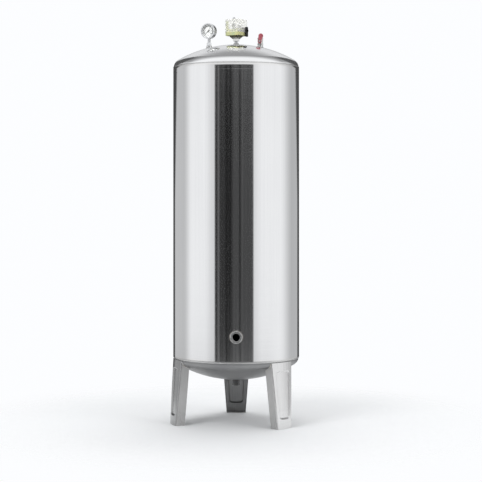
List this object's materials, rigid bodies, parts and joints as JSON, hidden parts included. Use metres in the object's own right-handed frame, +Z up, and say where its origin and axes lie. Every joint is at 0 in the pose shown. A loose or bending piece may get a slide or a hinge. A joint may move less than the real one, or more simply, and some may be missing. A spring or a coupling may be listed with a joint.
{
  "type": "well pressure tank",
  "caption": "Upright polished stainless pressure tank on pressed legs with dial gauge, pressure switch and lever valve on its crown and a threaded port low on the front.",
  "frame": {"origin": "on the tank's axis at floor level, midway between the outermost points of the legs, shell and port", "axes": "+Z up along the tank's axis, -Y out of the main port at the front, +X to the right seen from the front"},
  "size_m": [0.4084, 0.428, 1.286],
  "materials": {
    "shell_steel": "polished",
    "leg_steel": "polished",
    "socket_steel": "machined",
    "gauge_steel": "satin",
    "lens_glass": "clear",
    "dial_white": "matt",
    "pointer_black": "matt",
    "brass": "satin",
    "zinc_steel": "zinc plated",
    "yellow_zinc": "yellow passivated zinc",
    "dark_casting": "olive passivated zinc",
    "rubber_black": "matt",
    "plunger_white": "matt",
    "spring_steel": "drawn wire",
    "phenolic_black": "moulded",
    "contact_bronze": "rolled strip",
    "cover_clear": "milky translucent",
    "valve_nickel": "nickel plated",
    "seat_white": "waxy",
    "lever_red": "dipped vinyl"
  },
  "bodies": {
    "tank": {"cylinder_shell": "shell_steel", "top_head": "shell_steel", "bottom_head": "shell_steel", "leg_left": "leg_steel", "leg_right": "leg_steel", "leg_rear": "leg_steel", "front_port": "socket_steel", "drain_socket": "socket_steel", "gauge_socket": "socket_steel", "switch_socket": "socket_steel", "valve_socket": "socket_steel", "drain_plug": "socket_steel", "gauge_case": "gauge_steel", "gauge_bezel": "gauge_steel", "gauge_stem": "gauge_steel", "gauge_lens": "lens_glass", "gauge_dial": "dial_white", "gauge_bourdon_tube": "brass", "gauge_movement_frame": "brass", "switch_terminal_screws": "brass", "switch_fixed_contacts": "brass", "switch_nipple": "zinc_steel", "switch_housing_screws": "zinc_steel", "switch_pivot_pin": "zinc_steel", "switch_main_stud": "zinc_steel", "switch_main_nut": "zinc_steel", "switch_differential_stud": "zinc_steel", "switch_differential_nut": "zinc_steel", "switch_cover_nut": "zinc_steel", "switch_base": "yellow_zinc", "switch_housing": "dark_casting", "switch_diaphragm": "rubber_black", "switch_grommet": "rubber_black", "switch_main_spring": "spring_steel", "switch_differential_spring": "spring_steel", "switch_contact_block": "phenolic_black", "switch_cover": "cover_clear", "valve_body": "valve_nickel", "valve_end_fitting": "valve_nickel", "valve_packing_nut": "valve_nickel", "valve_seats": "seat_white"},
    "gauge_pointer_set": {"gauge_pointer": "pointer_black", "gauge_pinion": "brass"},
    "gauge_sector_set": {"gauge_sector": "brass"},
    "switch_rocker_set": {"switch_rocker": "yellow_zinc", "switch_moving_contacts": "contact_bronze"},
    "switch_plunger_set": {"switch_plunger": "plunger_white"},
    "valve_lever_set": {"valve_lever": "lever_red", "valve_lever_nut": "zinc_steel", "valve_stem": "valve_nickel", "valve_ball": "valve_nickel"}
  },
  "joints": [
    {"name": "gauge_sector_hinge", "type": "hinge", "parent": "tank", "child": "gauge_sector_set", "pos_m": [-0.086, 0, 1.23122], "axis": [0.4226, 0.9063, 0], "range_deg": [-45, 0], "stiffness_Nm_per_rad": 0.002},
    {"name": "gauge_pointer_hinge", "type": "hinge", "parent": "tank", "child": "gauge_pointer_set", "pos_m": [-0.086, 0, 1.24117], "axis": [0.4226, 0.9063, 0], "range_deg": [0, 270]},
    {"name": "switch_rocker_hinge", "type": "hinge", "parent": "tank", "child": "switch_rocker_set", "pos_m": [-0.01594, 0.01035, 1.2441], "axis": [-0.5446, -0.8387, 0], "range_deg": [0, 4.3], "stiffness_Nm_per_rad": 1, "springref_deg": -1.72, "deforming": ["switch_main_spring", "switch_differential_spring"]},
    {"name": "switch_plunger_slide", "type": "slide", "parent": "tank", "child": "switch_plunger_set", "axis": [0, 0, 1], "range_m": [0, 0.0015]},
    {"name": "valve_lever_hinge", "type": "hinge", "parent": "tank", "child": "valve_lever_set", "pos_m": [0.077, 0, 1.20795], "axis": [0.1736, 0.9848, 0], "range_deg": [-12, 78]}
  ],
  "couplings": [
    {"joint": "gauge_pointer_hinge", "follows": "gauge_sector_hinge", "ratio": -6},
    {"joint": "switch_plunger_slide", "follows": "switch_rocker_hinge", "m_per_rad": 0.0188}
  ]
}
